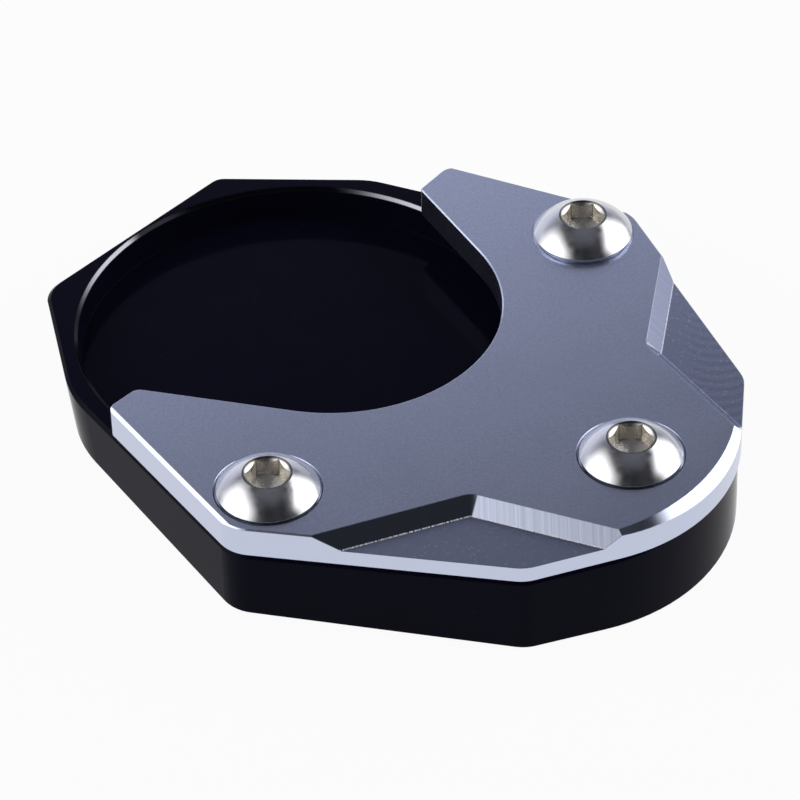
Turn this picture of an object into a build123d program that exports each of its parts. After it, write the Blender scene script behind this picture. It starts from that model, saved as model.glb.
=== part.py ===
"""Kickstand foot enlarger: a black pan that takes the stand's foot and a C-shaped clamp plate held by screws.

Sizes are millimetres. The underside lies on Z = 0. X runs along the body from the pan's heel to the
rounded toe, Y points to the far arm. The pan is a wedge, so the deck that carries the plate rises
gently toward the toe; outlines are drawn on that deck, with the origin between the two arm screws.
"""
import os
from math import cos, radians, sin, tan

from build123d import *

os.makedirs("parts", exist_ok=True)

# Wedge between the underside and the deck
DECK_SLOPE = 2.6
DECK_HEIGHT = 7.5
deck = Plane(
    origin=(0, 0, DECK_HEIGHT),
    x_dir=(cos(radians(DECK_SLOPE)), 0, sin(radians(DECK_SLOPE))),
    z_dir=(-sin(radians(DECK_SLOPE)), 0, cos(radians(DECK_SLOPE))),
)
up = Axis(deck.origin, deck.z_dir)

# Corners shared by the pan and the plate, before rounding
FRONT_CHEEK = (26.3, -18.0)
FRONT_WAIST = (0.5, -32.4)
REAR_WAIST = (1.6, 32.4)
CHEEK_ROUND = 4.0
WAIST_ROUND = 4.0

# Pan
PAN_TOE = (39.1, 2.4)
PAN_REAR_CHEEK = (23.6, 20.2)
REAR_SHOULDER = (-27.3, 23.8)
REAR_HEEL = (-41.0, 13.7)
FRONT_HEEL = (-42.6, -12.4)
FRONT_SHOULDER = (-29.2, -23.5)
REAR_SHOULDER_ROUND = 8.0
FRONT_SHOULDER_ROUND = 14.0
REAR_HEEL_ROUND = 2.0
FRONT_HEEL_ROUND = 4.0
PAN_TOE_ROUND = 21.0
PAN_EDGE_BREAK = 0.4
HEEL_DRAFT = 6.0
PAN_BLANK = 12.0
POCKET_CENTRE = (-17.7, -0.3)
POCKET_RADIUS = 23.1
POCKET_DEPTH = 3.7
POCKET_RIM_CHAMFER = 0.4

# Clamp plate
PLATE_THICKNESS = 3.5
PLATE_TOE = (38.2, 1.0)
PLATE_REAR_CHEEK = (26.4, 18.7)
PLATE_TOE_ROUND = 19.0
FRONT_TIP_OUTER = (-21.4, -25.8)
FRONT_TIP_OUTER_ROUND = 1.0
FRONT_TIP_INNER = (-21.1, -21.8)
FRONT_TIP_INNER_ROUND = 1.3
REAR_TIP_OUTER = (-19.05, 27.1)
REAR_TIP_OUTER_ROUND = 1.6
REAR_TIP_INNER = (-18.9, 22.0)
REAR_TIP_INNER_ROUND = 0.5
MOUTH_CENTRE = (-13.45, 1.1)
MOUTH_RADIUS = 17.4
MOUTH_FRONT_ANGLE = 25.2
MOUTH_REAR_ANGLE = 21.8
SIDE_CHAMFER = 0.35
PLATE_EDGE_BREAK = 0.15

# Recesses milled into the plate's outer edge, each a shallow V with walls at 45 degrees
RECESS_DEPTH = 1.6
RECESS_WALL_TAPER = 45.0
RECESS_CORNER_ROUND = 2.0
RECESS_REACH = 30.0
FRONT_RECESS_CORNER = (16.2, -13.8)
FRONT_RECESS_ARM_ANGLE = 239.4
FRONT_RECESS_TOE_ANGLE = 17.3
REAR_RECESS_CORNER = (16.2, 15.4)
REAR_RECESS_ARM_ANGLE = 120.1
REAR_RECESS_TOE_ANGLE = -18.4

# Conical chamfer turned around the toe
TOE_CONE_CENTRE = (11.9, 0.5)
TOE_CONE_RADIUS = 21.5
TOE_CONE_SLOPE = 32.0
TOE_CONE_REACH = 4.0
TOE_CONE_HALF_ARC = 33.0

# Button-head screws
ARM_SCREWS_X = -0.2
FRONT_SCREW_INSET = 6.85
REAR_SCREW_INSET = 6.05
TOE_SCREW_INSET = 12.9
TOE_SCREW_Y = 0.7
FRONT_SCREW = (ARM_SCREWS_X, FRONT_WAIST[1] + FRONT_SCREW_INSET)
REAR_SCREW = (ARM_SCREWS_X, REAR_WAIST[1] - REAR_SCREW_INSET)
TOE_SCREW = (PLATE_TOE[0] - TOE_SCREW_INSET, TOE_SCREW_Y)
SCREW_RADIUS = 3.0
SCREW_LENGTH = 10.0
SCREW_POINT_CHAMFER = 0.8
HEAD_RADIUS = 5.25
HEAD_HEIGHT = 2.6
HEAD_TOP_RADIUS = 2.55
HEAD_DOME_RADIUS = 6.7
HEAD_FOOT_RADIUS = 4.9
HEAD_FOOT_HEIGHT = 0.55
SOCKET_ACROSS_FLATS = 4.0
SOCKET_DEPTH = 1.9
SOCKET_MOUTH_RADIUS = 2.4
SOCKET_TURN = 40.0
SOCKET_POINT_RADIUS = 1.9
SOCKET_POINT_DEPTH = 0.7

# Holes for the screws, and how far each head is let into the plate
THREAD_CLEARANCE = 0.02
SHANK_CLEARANCE = 0.3
HEAD_CLEARANCE = 0.15
DEEP_SEAT = 0.4
SHALLOW_SEAT = 0.1
SCREWS = {
    "screw_front": (FRONT_SCREW, DEEP_SEAT),
    "screw_rear": (REAR_SCREW, SHALLOW_SEAT),
    "screw_toe": (TOE_SCREW, DEEP_SEAT),
}


def round_corners(sketch, corners):
    """Round each named corner of the sketch that is being built."""
    for corner, radius in corners:
        fillet(sketch.vertices().sort_by_distance(corner)[0], radius)


def circles_of(part, radius):
    """Circular edges of the given radius, lowest first."""
    edges = part.edges().filter_by(GeomType.CIRCLE)
    return edges.filter_by(lambda edge: abs(edge.radius - radius) < 0.01).sort_by(up)


def upright_edge(part, corner):
    """Edge that runs down from a corner of the deck's outline."""
    edges = part.edges().filter_by(lambda edge: abs(edge.tangent_at(0.5).dot(deck.z_dir)) > 0.9)
    return edges.sort_by_distance(deck.from_local_coords(corner + (0,)))[0]


def polar(start, angle, length):
    """Point reached from start along an angle in degrees."""
    return (start[0] + length * cos(radians(angle)), start[1] + length * sin(radians(angle)))


# Pan: the outline carried down to the ground, with a round pocket for the stand's foot
with BuildPart() as base_pan:
    with BuildSketch(deck) as pan_outline:
        Polygon(
            PAN_TOE, PAN_REAR_CHEEK, REAR_WAIST, REAR_SHOULDER, REAR_HEEL,
            FRONT_HEEL, FRONT_SHOULDER, FRONT_WAIST, FRONT_CHEEK,
            align=None,
        )
        round_corners(pan_outline, (
            (PAN_TOE, PAN_TOE_ROUND), (PAN_REAR_CHEEK, CHEEK_ROUND), (REAR_WAIST, WAIST_ROUND),
            (REAR_HEEL, REAR_HEEL_ROUND), (FRONT_HEEL, FRONT_HEEL_ROUND),
            (FRONT_WAIST, WAIST_ROUND), (FRONT_CHEEK, CHEEK_ROUND),
        ))
    extrude(amount=-PAN_BLANK)
    split(bisect_by=Plane.XY, keep=Keep.TOP)

    # The walls on both sides of the heel lean inward toward the ground
    for start, end in ((FRONT_HEEL, FRONT_SHOULDER), (REAR_SHOULDER, REAR_HEEL)):
        edge_start = deck.from_local_coords(start + (0,))
        along = (deck.from_local_coords(end + (0,)) - edge_start).normalized()
        outward = along.cross(deck.z_dir) * cos(radians(HEEL_DRAFT)) - deck.z_dir * sin(radians(HEEL_DRAFT))
        split(bisect_by=Plane(edge_start, x_dir=along, z_dir=outward), keep=Keep.BOTTOM)
    fillet(upright_edge(base_pan, REAR_SHOULDER), REAR_SHOULDER_ROUND)
    fillet(upright_edge(base_pan, FRONT_SHOULDER), FRONT_SHOULDER_ROUND)
    chamfer(base_pan.faces().sort_by(up)[-1].edges(), PAN_EDGE_BREAK)

    # Pocket for the stand's foot and tapped holes for the screws
    with BuildSketch(deck):
        with Locations(POCKET_CENTRE):
            Circle(POCKET_RADIUS)
    extrude(amount=-POCKET_DEPTH, mode=Mode.SUBTRACT)
    chamfer(circles_of(base_pan, POCKET_RADIUS)[-1], POCKET_RIM_CHAMFER)
    with BuildSketch(deck):
        with Locations(FRONT_SCREW, REAR_SCREW, TOE_SCREW):
            Circle(SCREW_RADIUS + THREAD_CLEARANCE)
    extrude(amount=-PAN_BLANK, mode=Mode.SUBTRACT)
base_pan.part.label = "base_pan"
export_step(base_pan.part, "parts/base_pan.step")

# Clamp plate: follows the pan's sides and toe, and ends in two arms around a flared mouth
plate_top = deck.offset(PLATE_THICKNESS)
with BuildPart() as clamp_plate:
    with BuildSketch(deck) as plate_outline:
        Polygon(
            PLATE_TOE, PLATE_REAR_CHEEK, REAR_WAIST, REAR_TIP_OUTER, REAR_TIP_INNER,
            FRONT_TIP_INNER, FRONT_TIP_OUTER, FRONT_WAIST, FRONT_CHEEK,
            align=None,
        )
        with Locations(MOUTH_CENTRE):
            Circle(MOUTH_RADIUS, mode=Mode.SUBTRACT)
        Polygon(
            polar(MOUTH_CENTRE, MOUTH_FRONT_ANGLE - 90, MOUTH_RADIUS),
            polar(MOUTH_CENTRE, 90 - MOUTH_REAR_ANGLE, MOUTH_RADIUS),
            REAR_TIP_INNER, FRONT_TIP_INNER,
            align=None, mode=Mode.SUBTRACT,
        )
        round_corners(plate_outline, (
            (PLATE_TOE, PLATE_TOE_ROUND), (PLATE_REAR_CHEEK, CHEEK_ROUND), (REAR_WAIST, WAIST_ROUND),
            (REAR_TIP_OUTER, REAR_TIP_OUTER_ROUND), (REAR_TIP_INNER, REAR_TIP_INNER_ROUND),
            (FRONT_TIP_INNER, FRONT_TIP_INNER_ROUND), (FRONT_TIP_OUTER, FRONT_TIP_OUTER_ROUND),
            (FRONT_WAIST, WAIST_ROUND), (FRONT_CHEEK, CHEEK_ROUND),
        ))
    extrude(amount=PLATE_THICKNESS)
    for face in (clamp_plate.faces().sort_by(up)[0], clamp_plate.faces().sort_by(up)[-1]):
        chamfer(face.edges(), PLATE_EDGE_BREAK)

    # Chamfers along the top of both outer sides, running out at the rounded tips and waists
    for start, end in ((FRONT_TIP_OUTER, FRONT_WAIST), (REAR_WAIST, REAR_TIP_OUTER)):
        edge_start = plate_top.from_local_coords(start + (0,))
        along = plate_top.from_local_coords(end + (0,)) - edge_start
        with BuildSketch(Plane(origin=edge_start, x_dir=along.cross(deck.z_dir), z_dir=along)):
            Polygon((-SIDE_CHAMFER, 0), (SIDE_CHAMFER, 0), (SIDE_CHAMFER, 2 * SIDE_CHAMFER), align=None)
        extrude(amount=along.length, mode=Mode.SUBTRACT)

    # Recesses that open through the outer edge, on both sides of the toe
    for corner, arm_angle, toe_angle in (
        (FRONT_RECESS_CORNER, FRONT_RECESS_ARM_ANGLE, FRONT_RECESS_TOE_ANGLE),
        (REAR_RECESS_CORNER, REAR_RECESS_ARM_ANGLE, REAR_RECESS_TOE_ANGLE),
    ):
        arm_end = polar(corner, arm_angle, RECESS_REACH)
        toe_end = polar(corner, toe_angle, RECESS_REACH)
        with BuildSketch(plate_top) as recess_outline:
            Polygon(corner, arm_end, polar(arm_end, toe_angle, RECESS_REACH), toe_end, align=None)
            round_corners(recess_outline, ((corner, RECESS_CORNER_ROUND),))
        extrude(amount=-RECESS_DEPTH, taper=RECESS_WALL_TAPER, mode=Mode.SUBTRACT)

    # Conical chamfer around the toe
    cone_apex = plate_top.from_local_coords(TOE_CONE_CENTRE + (0,))
    cone_start = deck.x_dir.rotate(up, -TOE_CONE_HALF_ARC)
    with BuildSketch(Plane(cone_apex, x_dir=cone_start, z_dir=cone_start.cross(deck.z_dir))):
        Polygon(
            (TOE_CONE_RADIUS, 0),
            (TOE_CONE_RADIUS + TOE_CONE_REACH, 0),
            (TOE_CONE_RADIUS + TOE_CONE_REACH, -TOE_CONE_REACH * tan(radians(TOE_CONE_SLOPE))),
            align=None,
        )
    revolve(axis=Axis(cone_apex, deck.z_dir), revolution_arc=2 * TOE_CONE_HALF_ARC, mode=Mode.SUBTRACT)

    # Clearance holes and the seats of the screw heads
    with BuildSketch(plate_top):
        with Locations(FRONT_SCREW, REAR_SCREW, TOE_SCREW):
            Circle(SCREW_RADIUS + SHANK_CLEARANCE)
    extrude(amount=-PLATE_THICKNESS, mode=Mode.SUBTRACT)
    for centre, seat in SCREWS.values():
        with BuildSketch(plate_top):
            with Locations(centre):
                Circle(HEAD_RADIUS + HEAD_CLEARANCE)
        extrude(amount=-seat, mode=Mode.SUBTRACT)
clamp_plate.part.label = "clamp_plate"
export_step(clamp_plate.part, "parts/clamp_plate.step")

# Button-head screws: each is turned about its own axis, then the hexagon socket is sunk into the head
for name, (centre, seat) in SCREWS.items():
    foot = Plane(plate_top.from_local_coords(centre + (-seat,)), x_dir=deck.x_dir, z_dir=-deck.y_dir)
    with BuildPart() as screw:
        with BuildSketch(foot):
            with BuildLine():
                Polyline(
                    (HEAD_TOP_RADIUS, HEAD_HEIGHT),
                    (0, HEAD_HEIGHT),
                    (0, -SCREW_LENGTH),
                    (SCREW_RADIUS - SCREW_POINT_CHAMFER, -SCREW_LENGTH),
                    (SCREW_RADIUS, SCREW_POINT_CHAMFER - SCREW_LENGTH),
                    (SCREW_RADIUS, 0),
                    (HEAD_FOOT_RADIUS, 0),
                    (HEAD_RADIUS, HEAD_FOOT_HEIGHT),
                )
                RadiusArc((HEAD_RADIUS, HEAD_FOOT_HEIGHT), (HEAD_TOP_RADIUS, HEAD_HEIGHT), -HEAD_DOME_RADIUS)
            make_face()
        screw_axis = Axis(foot.origin, deck.z_dir)
        revolve(axis=screw_axis)
        head_top = Plane(foot.from_local_coords((0, HEAD_HEIGHT, 0)), x_dir=deck.x_dir, z_dir=deck.z_dir)
        with BuildSketch(head_top):
            RegularPolygon(SOCKET_ACROSS_FLATS / 2, 6, major_radius=False, rotation=SOCKET_TURN)
        extrude(amount=-SOCKET_DEPTH, mode=Mode.SUBTRACT)
        with BuildSketch(foot):
            Polygon(
                (0, HEAD_HEIGHT - SOCKET_DEPTH),
                (SOCKET_POINT_RADIUS, HEAD_HEIGHT - SOCKET_DEPTH),
                (0, HEAD_HEIGHT - SOCKET_DEPTH - SOCKET_POINT_DEPTH),
                align=None,
            )
            Polygon(
                (0, HEAD_HEIGHT),
                (SOCKET_MOUTH_RADIUS, HEAD_HEIGHT),
                (0, HEAD_HEIGHT - SOCKET_MOUTH_RADIUS),
                align=None,
            )
        revolve(axis=screw_axis, mode=Mode.SUBTRACT)
    screw.part.label = name
    export_step(screw.part, f"parts/{name}.step")
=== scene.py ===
"""Looks of the kickstand foot enlarger: black anodised pan, silver anodised clamp plate and screws."""
from math import cos, pi, radians, sin

import bpy
from mathutils import Matrix, Vector

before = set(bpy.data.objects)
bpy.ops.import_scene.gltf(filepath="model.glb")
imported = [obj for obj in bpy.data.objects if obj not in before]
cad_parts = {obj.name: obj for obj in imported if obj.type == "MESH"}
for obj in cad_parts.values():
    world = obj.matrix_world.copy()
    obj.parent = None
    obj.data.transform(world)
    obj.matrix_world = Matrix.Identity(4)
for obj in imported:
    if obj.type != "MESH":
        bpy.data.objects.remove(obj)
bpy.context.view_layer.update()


# Pan: milled from aluminium and black anodised, a thin hard coat that mirrors its surroundings at flat
# angles. The pocket for the stand's foot is turned, and its rim has a broken edge, with a painted
# highlight at the heel and beside the rear arm.
class Socket:
    """A shader socket whose arithmetic adds Math nodes."""

    def __init__(self, tree, socket):
        self.tree = tree
        self.socket = socket

    def math(self, operation, *others):
        return self.tree.node("Math", {"operation": operation}, self, *others)

    def __add__(self, other):
        return self.math("ADD", other)

    def __sub__(self, other):
        return self.math("SUBTRACT", other)

    def __mul__(self, other):
        return self.math("MULTIPLY", other)

    __radd__ = __add__
    __rmul__ = __mul__

    def __rsub__(self, other):
        return self.tree.node("Math", {"operation": "SUBTRACT"}, other, self)

    def __abs__(self):
        return self.math("ABSOLUTE")


MILLIMETRE = 0.001


class Shading:
    """The shader nodes of a material, a lamp or the world."""

    def __init__(self, owner):
        owner.use_nodes = True
        self.owner = owner
        self.nodes = owner.node_tree.nodes
        self.links = owner.node_tree.links
        self.nodes.clear()

    def node(self, kind, settings=None, *values, output=0, **named):
        """Add a node, set its settings, then its sockets by place or by name, and give one output."""
        made = self.nodes.new("ShaderNode" + kind)
        for key, value in (settings or {}).items():
            setattr(made, key, value)
        pairs = list(enumerate(values)) + [(key.replace("_", " "), value) for key, value in named.items()]
        for key, value in pairs:
            if isinstance(value, Socket):
                self.links.new(value.socket, made.inputs[key])
            elif value is not None:
                made.inputs[key].default_value = value
        return Socket(self, made.outputs[output]) if made.outputs else None

    def blend(self, factor, first, second):
        """Mix two colours. The five sockets left alone are for numbers and vectors."""
        return self.node("Mix", {"data_type": "RGBA"}, factor, *[None] * 5, first, second, output=2)

    def ramp(self, value, start, end, low=0.0, high=1.0):
        """Go from low to high, without a kink, while the value goes from start to end."""
        settings = {"interpolation_type": "SMOOTHSTEP"}
        return self.node("MapRange", settings, value, start, end, low, high)

    def near(self, value, target, full, gone):
        """1 while the value is within full of the target, falling to 0 at the distance gone."""
        return self.ramp(abs(value - target), full, gone, 1.0, 0.0)

    def noise(self, vector, scale, detail):
        """Cloudy pattern from 0 to 1."""
        return self.node("TexNoise", None, Vector=vector, Scale=scale, Detail=detail)

    def surface(self, colour, metallic, roughness, relief, edge_round, **constants):
        """Finish of a solid, with its relief and the rounding of its edges in millimetres."""
        rounded = self.node("Bevel", None, edge_round * MILLIMETRE)
        normal = self.node("Bump", None, Strength=1.0, Distance=MILLIMETRE, Height=relief, Normal=rounded)
        self.node("OutputMaterial", None, self.node(
            "BsdfPrincipled", Base_Color=colour, Metallic=metallic, Roughness=roughness, Normal=normal,
            **constants,
        ))


DECK_SLOPE = radians(2.6)
DECK_HEIGHT = 7.5


def from_deck(u, v, w):
    """Point in metres from millimetres along, across and square to the deck."""
    return Vector((
        u * cos(DECK_SLOPE) - w * sin(DECK_SLOPE),
        v,
        DECK_HEIGHT + u * sin(DECK_SLOPE) + w * cos(DECK_SLOPE),
    )) * MILLIMETRE


def on_deck(shading, u=0.0, v=0.0, w=0.0):
    """Millimetres along, across and square to the deck, counted from a point of it."""
    place = shading.node("TexCoord", output="Object")
    turn = (0.0, -DECK_SLOPE, 0.0)
    scale = (MILLIMETRE,) * 3
    return shading.node("Mapping", {"vector_type": "TEXTURE"}, place, from_deck(u, v, w), turn, scale)


def split_up(shading, vector):
    """The three numbers of a vector."""
    return [shading.node("SeparateXYZ", None, vector, output=axis) for axis in "XYZ"]


def off_axis(along, across):
    """Distance from the upright axis that both numbers are counted from."""
    return (along * along + across * across).math("SQRT")


def dress(name, shading):
    """Give a CAD node its material."""
    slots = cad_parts[name].data.materials
    slots.clear()
    slots.append(shading.owner)


POCKET_CENTRE = (-17.7, -0.3)
POCKET_RADIUS = 23.1
RIM_CHAMFER = 0.4
PAN_EDGE_ROUND = 0.15
BLACK_COAT = ((0.0028, 0.0028, 0.0090, 1), (0.0040, 0.0040, 0.0120, 1))
BLACK_COAT_ROUGHNESS = (0.08, 0.16)
BLACK_COAT_IOR = 1.10
BLACK_GRAIN = 0.0008
DUST = (0.020, 0.021, 0.026, 1)
DUST_AMOUNT = 0.35
DUST_MORE_ROUGH = 0.1
RIM_COAT = (0.012, 0.012, 0.015, 1)
# Painted highlight on the rim chamfer, at the heel and beside the rear arm
RIM_PAINTED_HIGHLIGHT = (0.26, 0.26, 0.29, 1)
RIM_METAL = 0.8

# Levels of a noise between which a change in gloss, and the dust, fades in
CLOUD_LEVELS = (0.3, 0.7)
DUST_LEVELS = (0.66, 0.76)

# The pocket's turning rings, in radians for each millimetre outward and in millimetres of relief
POCKET_RINGS = 26.0
POCKET_RING_RELIEF = 0.00006

# Where the rim's painted highlights start and end, in millimetres across from the pocket's centre
HEEL_HIGHLIGHT_START = (-13.0, -4.0)
HEEL_HIGHLIGHT_END = (-1.0, 1.5)
REAR_HIGHLIGHT_START = (20.0, 22.5)

black = Shading(bpy.data.materials.new("black_anodised"))
place = on_deck(black, *POCKET_CENTRE)
along, across, height = split_up(black, place)
reach = off_axis(along, across)
rim = black.near(reach, POCKET_RADIUS + RIM_CHAMFER / 2, full=0.12, gone=RIM_CHAMFER / 2)
rim = rim * black.near(height, -RIM_CHAMFER / 2, full=0.18, gone=0.22)
# Where the painted highlight lies on the rim: at the heel and beside the rear arm
painted_highlight = black.ramp(across, *HEEL_HIGHLIGHT_START) * black.ramp(across, *HEEL_HIGHLIGHT_END, 1.0, 0.0)
painted_highlight = painted_highlight + black.ramp(across, *REAR_HIGHLIGHT_START)
rings = (reach * POCKET_RINGS).math("SINE")
rings = rings * black.ramp(reach, POCKET_RADIUS - 0.1, POCKET_RADIUS, 1.0, 0.0)
cloud = black.noise(place, scale=0.25, detail=4.0)
grain = black.noise(place, scale=5.0, detail=2.0)
dust = black.ramp(black.noise(place, scale=1.7, detail=5.0), *DUST_LEVELS)
colour = black.blend(cloud, *BLACK_COAT)
colour = black.blend(dust * DUST_AMOUNT, colour, DUST)
colour = black.blend(rim, colour, RIM_COAT)
# Paint the highlight on the rim at the heel and beside the rear arm
colour = black.blend(rim * painted_highlight, colour, RIM_PAINTED_HIGHLIGHT)
black.surface(
    colour,
    metallic=rim * RIM_METAL,
    roughness=black.ramp(cloud, *CLOUD_LEVELS, *BLACK_COAT_ROUGHNESS) + dust * DUST_MORE_ROUGH,
    relief=grain * BLACK_GRAIN + rings * POCKET_RING_RELIEF,
    edge_round=PAN_EDGE_ROUND,
    IOR=BLACK_COAT_IOR,
)
dress("base_pan", black)


# Clamp plate: milled from aluminium plate, blasted finely and anodised silver, and screwed down on the
# pan. The recesses, the chamfer round the toe and the outer sides are cut later with a smaller cutter,
# so they are smoother and show its marks.
RECESS_FLOOR = 1.9
RECESS_WALL_TILT = radians(45)
TOE_CONE_TILT = radians(32)
PLATE_EDGE_ROUND = 0.12
BLASTED = ((0.55, 0.595, 0.76, 1), (0.61, 0.66, 0.83, 1))
BLASTED_ROUGHNESS = (0.23, 0.27)
CUT = (0.54, 0.58, 0.72, 1)
CUT_ROUGHNESS = 0.10
SIDE_MORE_ROUGH = 0.14
STROKE_MORE_ROUGH = 0.12
RECESS_SHADE = (0.42, 0.46, 0.62, 1)
STROKE_SHADE = (0.40, 0.43, 0.55, 1)
STROKE_AMOUNT = 0.5
SPECK = (0.80, 0.83, 0.90, 1)
SPECK_AMOUNT = 0.6
# Painted highlight along the foot of the recess walls, and the heights above the floor where it fades out
FOOT_HIGHLIGHT = (0.90, 0.90, 0.95, 1)
FOOT_HIGHLIGHT_HEIGHT = (0.06, 0.12)

# Levels of a noise between which the blasted grain, the specks and the beads of the painted highlight
# fade in
GRAIN_LEVELS = (0.35, 0.65)
SPECK_LEVELS = (0.66, 0.72)
HIGHLIGHT_BEAD_LEVELS = (0.3, 0.6)

# Heights of the relief, in millimetres
BLASTED_GRAIN = 0.0026
BLASTED_FINE_GRAIN = 0.0008
RECESS_GRAIN = 0.004
STROKE_RELIEF = 0.004
ARC_RELIEF = 0.003

deck_normal = (from_deck(0, 0, 1) - from_deck(0, 0, 0)).normalized()


def facing(shading, direction):
    """How squarely the surface faces a direction, from -1 to 1."""
    normal = shading.node("TexCoord", output="Normal")
    return shading.node("VectorMath", {"operation": "DOT_PRODUCT"}, normal, direction, output="Value")


silver = Shading(bpy.data.materials.new("silver_anodised"))
place = on_deck(silver)
along, across, height = split_up(silver, place)
tilt = facing(silver, deck_normal)
wall = silver.near(tilt, cos(RECESS_WALL_TILT), full=0.04, gone=0.08)
cone = silver.near(tilt, cos(TOE_CONE_TILT), full=0.03, gone=0.05)
side = silver.near(tilt, 0.0, full=0.1, gone=0.2)
recess = silver.near(height, RECESS_FLOOR, full=0.02, gone=0.05) * silver.ramp(tilt, 0.9, 0.99)
cut = wall + cone + side
blasted = 1.0 - cut
cloud = silver.noise(place, scale=0.12, detail=3.0)
grain = silver.noise(place, scale=4.5, detail=3.0)
fine_grain = silver.noise(place, scale=9.0, detail=2.0)
specks = silver.ramp(silver.noise(place, scale=4.0, detail=1.0), *SPECK_LEVELS) * recess

# Strokes of the cutter along the recess walls, on a slant beside the toe and upright beside the arms.
# A thin painted highlight, broken into beads and not metallic, runs along the foot of the walls.
STROKE_SLANT = radians(40)
ARM_WALL_TURN = radians(30)
ARM_WALL_FACING = (0.35, 0.45)
toe_run = along * cos(STROKE_SLANT) - abs(across) * sin(STROKE_SLANT)
arm_run = abs(across) * cos(ARM_WALL_TURN) - along * sin(ARM_WALL_TURN)
on_arm = silver.ramp(facing(silver, (1.0, 0.0, 0.0)), *ARM_WALL_FACING)
run = toe_run * (1.0 - on_arm) + arm_run * on_arm
strokes = silver.node("TexNoise", {"noise_dimensions": "1D"}, W=run, Scale=1.6, Detail=2.0) * wall
toe_strokes = strokes * (1.0 - on_arm)
highlight_beads = silver.node("TexNoise", {"noise_dimensions": "1D"}, W=run, Scale=5.0, Detail=1.0)
# Painted highlight along the foot of the walls, broken into beads
foot_highlight = silver.ramp(height - RECESS_FLOOR, *FOOT_HIGHLIGHT_HEIGHT, 1.0, 0.0)
foot_highlight = foot_highlight * wall * silver.ramp(highlight_beads, *HIGHLIGHT_BEAD_LEVELS)

# Arcs that the cutter's end left on the floor of the rear recess, as a wave that turns by so many
# radians for each millimetre ahead
CUTTER_CENTRE = (24.3, 17.3)
CUTTER_RADIUS = 4.0
CUTTER_HEADING = radians(40)
CUTTER_ARCS = 4.6
REAR_RECESS_START = (4.0, 6.0)
cutter_along, cutter_across, _ = split_up(silver, on_deck(silver, *CUTTER_CENTRE))
beside = cutter_along * cos(CUTTER_HEADING) + cutter_across * sin(CUTTER_HEADING)
ahead = cutter_along * sin(CUTTER_HEADING) - cutter_across * cos(CUTTER_HEADING)
bow = (CUTTER_RADIUS ** 2 - beside * beside).math("MAXIMUM", 0.0).math("SQRT")
arcs = ((ahead - bow) * CUTTER_ARCS).math("SINE") * recess
arcs = arcs * silver.near(beside, 0.0, full=2.5, gone=CUTTER_RADIUS)
arcs = arcs * silver.ramp(across, *REAR_RECESS_START)

# Screws by their place along and across the deck and the depth of their seats. A soft lip runs round
# each deep seat.
DEEP_SEAT = 0.4
SHALLOW_SEAT = 0.1
SCREWS = {
    "screw_front": (-0.2, -25.55, DEEP_SEAT),
    "screw_rear": (-0.2, 26.35, SHALLOW_SEAT),
    "screw_toe": (25.3, 0.7, DEEP_SEAT),
}
SEAT_RADIUS = 5.4
LIP_WIDTH = 0.16
LIP_DROP = 0.10
lip = 0.0
for u, v, seat in SCREWS.values():
    if seat == DEEP_SEAT:
        seat_along, seat_across, _ = split_up(silver, on_deck(silver, u, v))
        from_axis = off_axis(seat_along, seat_across)
        lip = lip + silver.ramp(from_axis, SEAT_RADIUS, SEAT_RADIUS + LIP_WIDTH, -LIP_DROP, 0.0)

colour = silver.blend(silver.ramp(grain, *GRAIN_LEVELS), *BLASTED)
colour = silver.blend(cut, colour, CUT)
colour = silver.blend(recess, colour, RECESS_SHADE)
colour = silver.blend(strokes * STROKE_AMOUNT, colour, STROKE_SHADE)
colour = silver.blend(specks * SPECK_AMOUNT, colour, SPECK)
# Paint the highlight along the foot of the recess walls
colour = silver.blend(foot_highlight, colour, FOOT_HIGHLIGHT)
roughness = silver.ramp(cloud, *CLOUD_LEVELS, *BLASTED_ROUGHNESS) * blasted + cut * CUT_ROUGHNESS
roughness = roughness + side * SIDE_MORE_ROUGH + toe_strokes * STROKE_MORE_ROUGH
relief = (grain * BLASTED_GRAIN + fine_grain * BLASTED_FINE_GRAIN) * blasted
relief = relief + grain * recess * RECESS_GRAIN + arcs * ARC_RELIEF
relief = relief + toe_strokes * STROKE_RELIEF + lip
# The painted highlight along the foot of the walls is also made unmetallic
silver.surface(
    colour, metallic=1.0 - foot_highlight, roughness=roughness, relief=relief, edge_round=PLATE_EDGE_ROUND,
)
dress("clamp_plate", silver)


# Screws: three M6 button heads of stainless steel, turned, with a hexagon socket punched in, and darker
# in a thin ring round the socket's mouth. They go through the plate into tapped holes of the pan.
PLATE_THICKNESS = 3.5
HEAD_HEIGHT = 2.6
HEAD_EDGE_ROUND = 0.10
SOCKET_MOUTH_RADIUS = 2.4
SOCKET_DEPTH = 1.9
STEEL = ((0.55, 0.55, 0.57, 1), (0.65, 0.65, 0.67, 1))
STEEL_ROUGHNESS = (0.16, 0.24)
SOCKET_STEEL = (0.74, 0.71, 0.66, 1)
SOCKET_MORE_ROUGH = 0.08
SOCKET_PITS = 0.04
# Colour of the darker thin ring round the socket's mouth, and how much of it is mixed in
DARK_MOUTH_RING = (0.08, 0.075, 0.075, 1)
DARK_MOUTH_RING_AMOUNT = 0.8

# The head's turning rings, in radians for each millimetre outward and in millimetres of relief
HEAD_RINGS = 40.0
HEAD_RING_RELIEF = 0.0002

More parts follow.
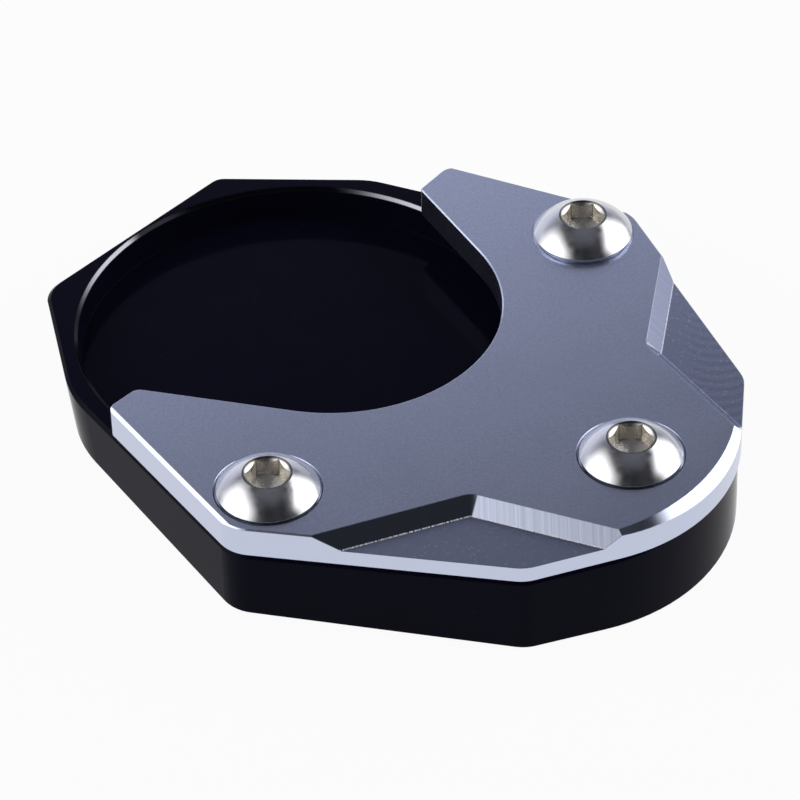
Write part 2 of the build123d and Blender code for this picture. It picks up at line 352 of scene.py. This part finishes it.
for name, (u, v, seat) in SCREWS.items():
    steel = Shading(bpy.data.materials.new("stainless_" + name))
    place = on_deck(steel, u, v, PLATE_THICKNESS - seat + HEAD_HEIGHT)
    along, across, height = split_up(steel, place)
    reach = off_axis(along, across)
    inside = steel.ramp(reach, SOCKET_MOUTH_RADIUS - 0.02, SOCKET_MOUTH_RADIUS + 0.02, 1.0, 0.0)
    inside = inside * steel.ramp(height, -0.10, -0.02, 1.0, 0.0)
    bottom = inside * steel.ramp(height, -SOCKET_DEPTH, 0.2 - SOCKET_DEPTH, 1.0, 0.0)
    mouth = steel.near(reach, SOCKET_MOUTH_RADIUS, full=0.08, gone=0.16)
    rings = (reach * HEAD_RINGS).math("SINE") * (1.0 - inside)
    cloud = steel.noise(place, scale=1.2, detail=3.0)
    pits = steel.noise(place, scale=7.0, detail=2.0) * bottom
    colour = steel.blend(cloud, *STEEL)
    colour = steel.blend(inside, colour, SOCKET_STEEL)
    # Darker thin ring round the socket's mouth
    colour = steel.blend(mouth * DARK_MOUTH_RING_AMOUNT, colour, DARK_MOUTH_RING)
    steel.surface(
        colour,
        metallic=1.0,
        roughness=steel.ramp(cloud, *CLOUD_LEVELS, *STEEL_ROUGHNESS) + inside * SOCKET_MORE_ROUGH,
        relief=rings * HEAD_RING_RELIEF + pits * SOCKET_PITS,
        edge_round=HEAD_EDGE_ROUND,
    )
    dress(name, steel)


# Camera: a long lens that looks at the front corner, fitted to the photograph. Its places are in
# millimetres along the body, toward the rear arm and square to the deck.
EYE = (227.0, -275.4, 298.4)
TARGET = (-1.06, -3.68, 0.0)
ROLL = radians(-1.723)
FOCAL_PIXELS = 4500
IMAGE_PIXELS = 800
eye = from_deck(*EYE)
forward = (from_deck(*TARGET) - eye).normalized()
right = forward.cross(deck_normal).normalized()
level = Matrix((right, right.cross(forward), -forward)).transposed().to_4x4()
lens = bpy.data.cameras.new("camera")
lens.lens = lens.sensor_width * FOCAL_PIXELS / IMAGE_PIXELS
camera = bpy.data.objects.new("camera", lens)
camera.matrix_world = Matrix.Translation(eye) @ level @ Matrix.Rotation(ROLL, 4, "Z")
bpy.context.scene.collection.objects.link(camera)
bpy.context.scene.camera = camera
bpy.context.scene.view_settings.view_transform = "Standard"


# Studio: two large soft boxes left and right of the camera, a low card close behind the object, a pale
# table, and a dim room that glows at the horizon.
WHITE = (1, 1, 1, 1)
away = Vector((forward.x, forward.y, 0)).normalized()
sideways = away.cross(Vector((0, 0, 1)))


def soft_box(name, azimuth, elevation, distance, width, height, radiance, fade_x, fade_y, tint=(1, 1, 1)):
    """Hang a lamp that faces the object and fades toward its edges over shares of its width and height.

    The azimuth is in degrees from straight behind the object toward the camera's right.
    """
    lamp = bpy.data.lights.new(name, "AREA")
    lamp.shape = "RECTANGLE"
    lamp.size = width
    lamp.size_y = height
    lamp.energy = radiance * pi * width * height
    lamp.color = tint
    glow = Shading(lamp)
    box_x, box_y, _ = split_up(glow, glow.node("NewGeometry", output="Parametric"))
    fade = glow.near(box_x, 0.5, 0.5 - fade_x, 0.5) * glow.near(box_y, 0.5, 0.5 - fade_y, 0.5)
    glow.node("OutputLight", None, glow.node("Emission", None, WHITE, fade))
    toward = (away * cos(radians(azimuth)) + sideways * sin(radians(azimuth))) * cos(radians(elevation))
    toward.z = sin(radians(elevation))
    turn = toward.to_track_quat("Z", "Y").to_matrix().to_4x4()
    box = bpy.data.objects.new(name, lamp)
    box.matrix_world = Matrix.Translation(toward * distance) @ turn
    box.visible_camera = False
    bpy.context.scene.collection.objects.link(box)


soft_box(
    "left_box", azimuth=-101, elevation=32, distance=0.45, width=0.94, height=0.56,
    radiance=2.7, fade_x=0.45, fade_y=0.42,
)
soft_box(
    "right_box", azimuth=74, elevation=32, distance=0.45, width=0.74, height=0.44,
    radiance=2.7, fade_x=0.34, fade_y=0.17,
)
soft_box(
    "back_card", azimuth=-18, elevation=18, distance=0.18, width=0.44, height=0.29,
    radiance=0.50, fade_x=0.40, fade_y=0.50, tint=(0.93, 0.96, 1.15),
)

# Light of the room toward the front and behind, and the glow at the horizon and overhead. Each pair
# is how far behind, or how high up, a direction points where that light starts and ends to change.
ROOM_COLOUR = (0.93, 0.96, 1.12, 1)
ROOM_FRONT = 0.03
ROOM_BEHIND = 0.10
ROOM_HORIZON = 0.45
ROOM_OVERHEAD = 0.12
FRONT_TO_BEHIND = (-0.2, 0.9)
HORIZON_TO_ALOFT = (0.15, 0.45)
ALOFT_TO_OVERHEAD = (0.85, 1.0)
world = bpy.data.worlds.new("studio")
bpy.context.scene.world = world
room = Shading(world)
look = room.node("TexCoord", output="Generated")
behind = room.node("VectorMath", {"operation": "DOT_PRODUCT"}, look, away, output="Value")
aloft = split_up(room, look)[2]
light = room.ramp(behind, *FRONT_TO_BEHIND, ROOM_FRONT, ROOM_BEHIND)
light = light + room.ramp(aloft, *HORIZON_TO_ALOFT, ROOM_HORIZON, 0.0)
light = light + room.ramp(aloft, *ALOFT_TO_OVERHEAD, 0.0, ROOM_OVERHEAD)
room.node("OutputWorld", None, room.node("Background", None, ROOM_COLOUR, light))

# The table shows as white paper to the camera and in reflections, still takes the shadow, and lets the
# underside be seen from below
TABLE_SIZE = 6.0
TABLE_DROP = 0.2
PAPER = (0.8, 0.8, 0.8, 1)
PAPER_GLOW = 0.94
paper = Shading(bpy.data.materials.new("paper"))
seen = paper.node("LightPath", output="Is Camera Ray") + paper.node("LightPath", output="Is Glossy Ray")
seen = seen + paper.node("LightPath", output="Is Transmission Ray")
lit = paper.node("BsdfDiffuse", None, PAPER)
table = paper.node("MixShader", None, seen * PAPER_GLOW, lit, paper.node("Emission", None, WHITE, 1.0))
below = paper.node("NewGeometry", output="Backfacing")
one_way = paper.node("MixShader", None, below, table, paper.node("BsdfTransparent"))
paper.node("OutputMaterial", None, one_way)
bpy.ops.mesh.primitive_plane_add(size=TABLE_SIZE, location=(0, 0, -TABLE_DROP * MILLIMETRE))
floor = bpy.context.object
floor.name = "floor"
floor.data.materials.append(paper.owner)
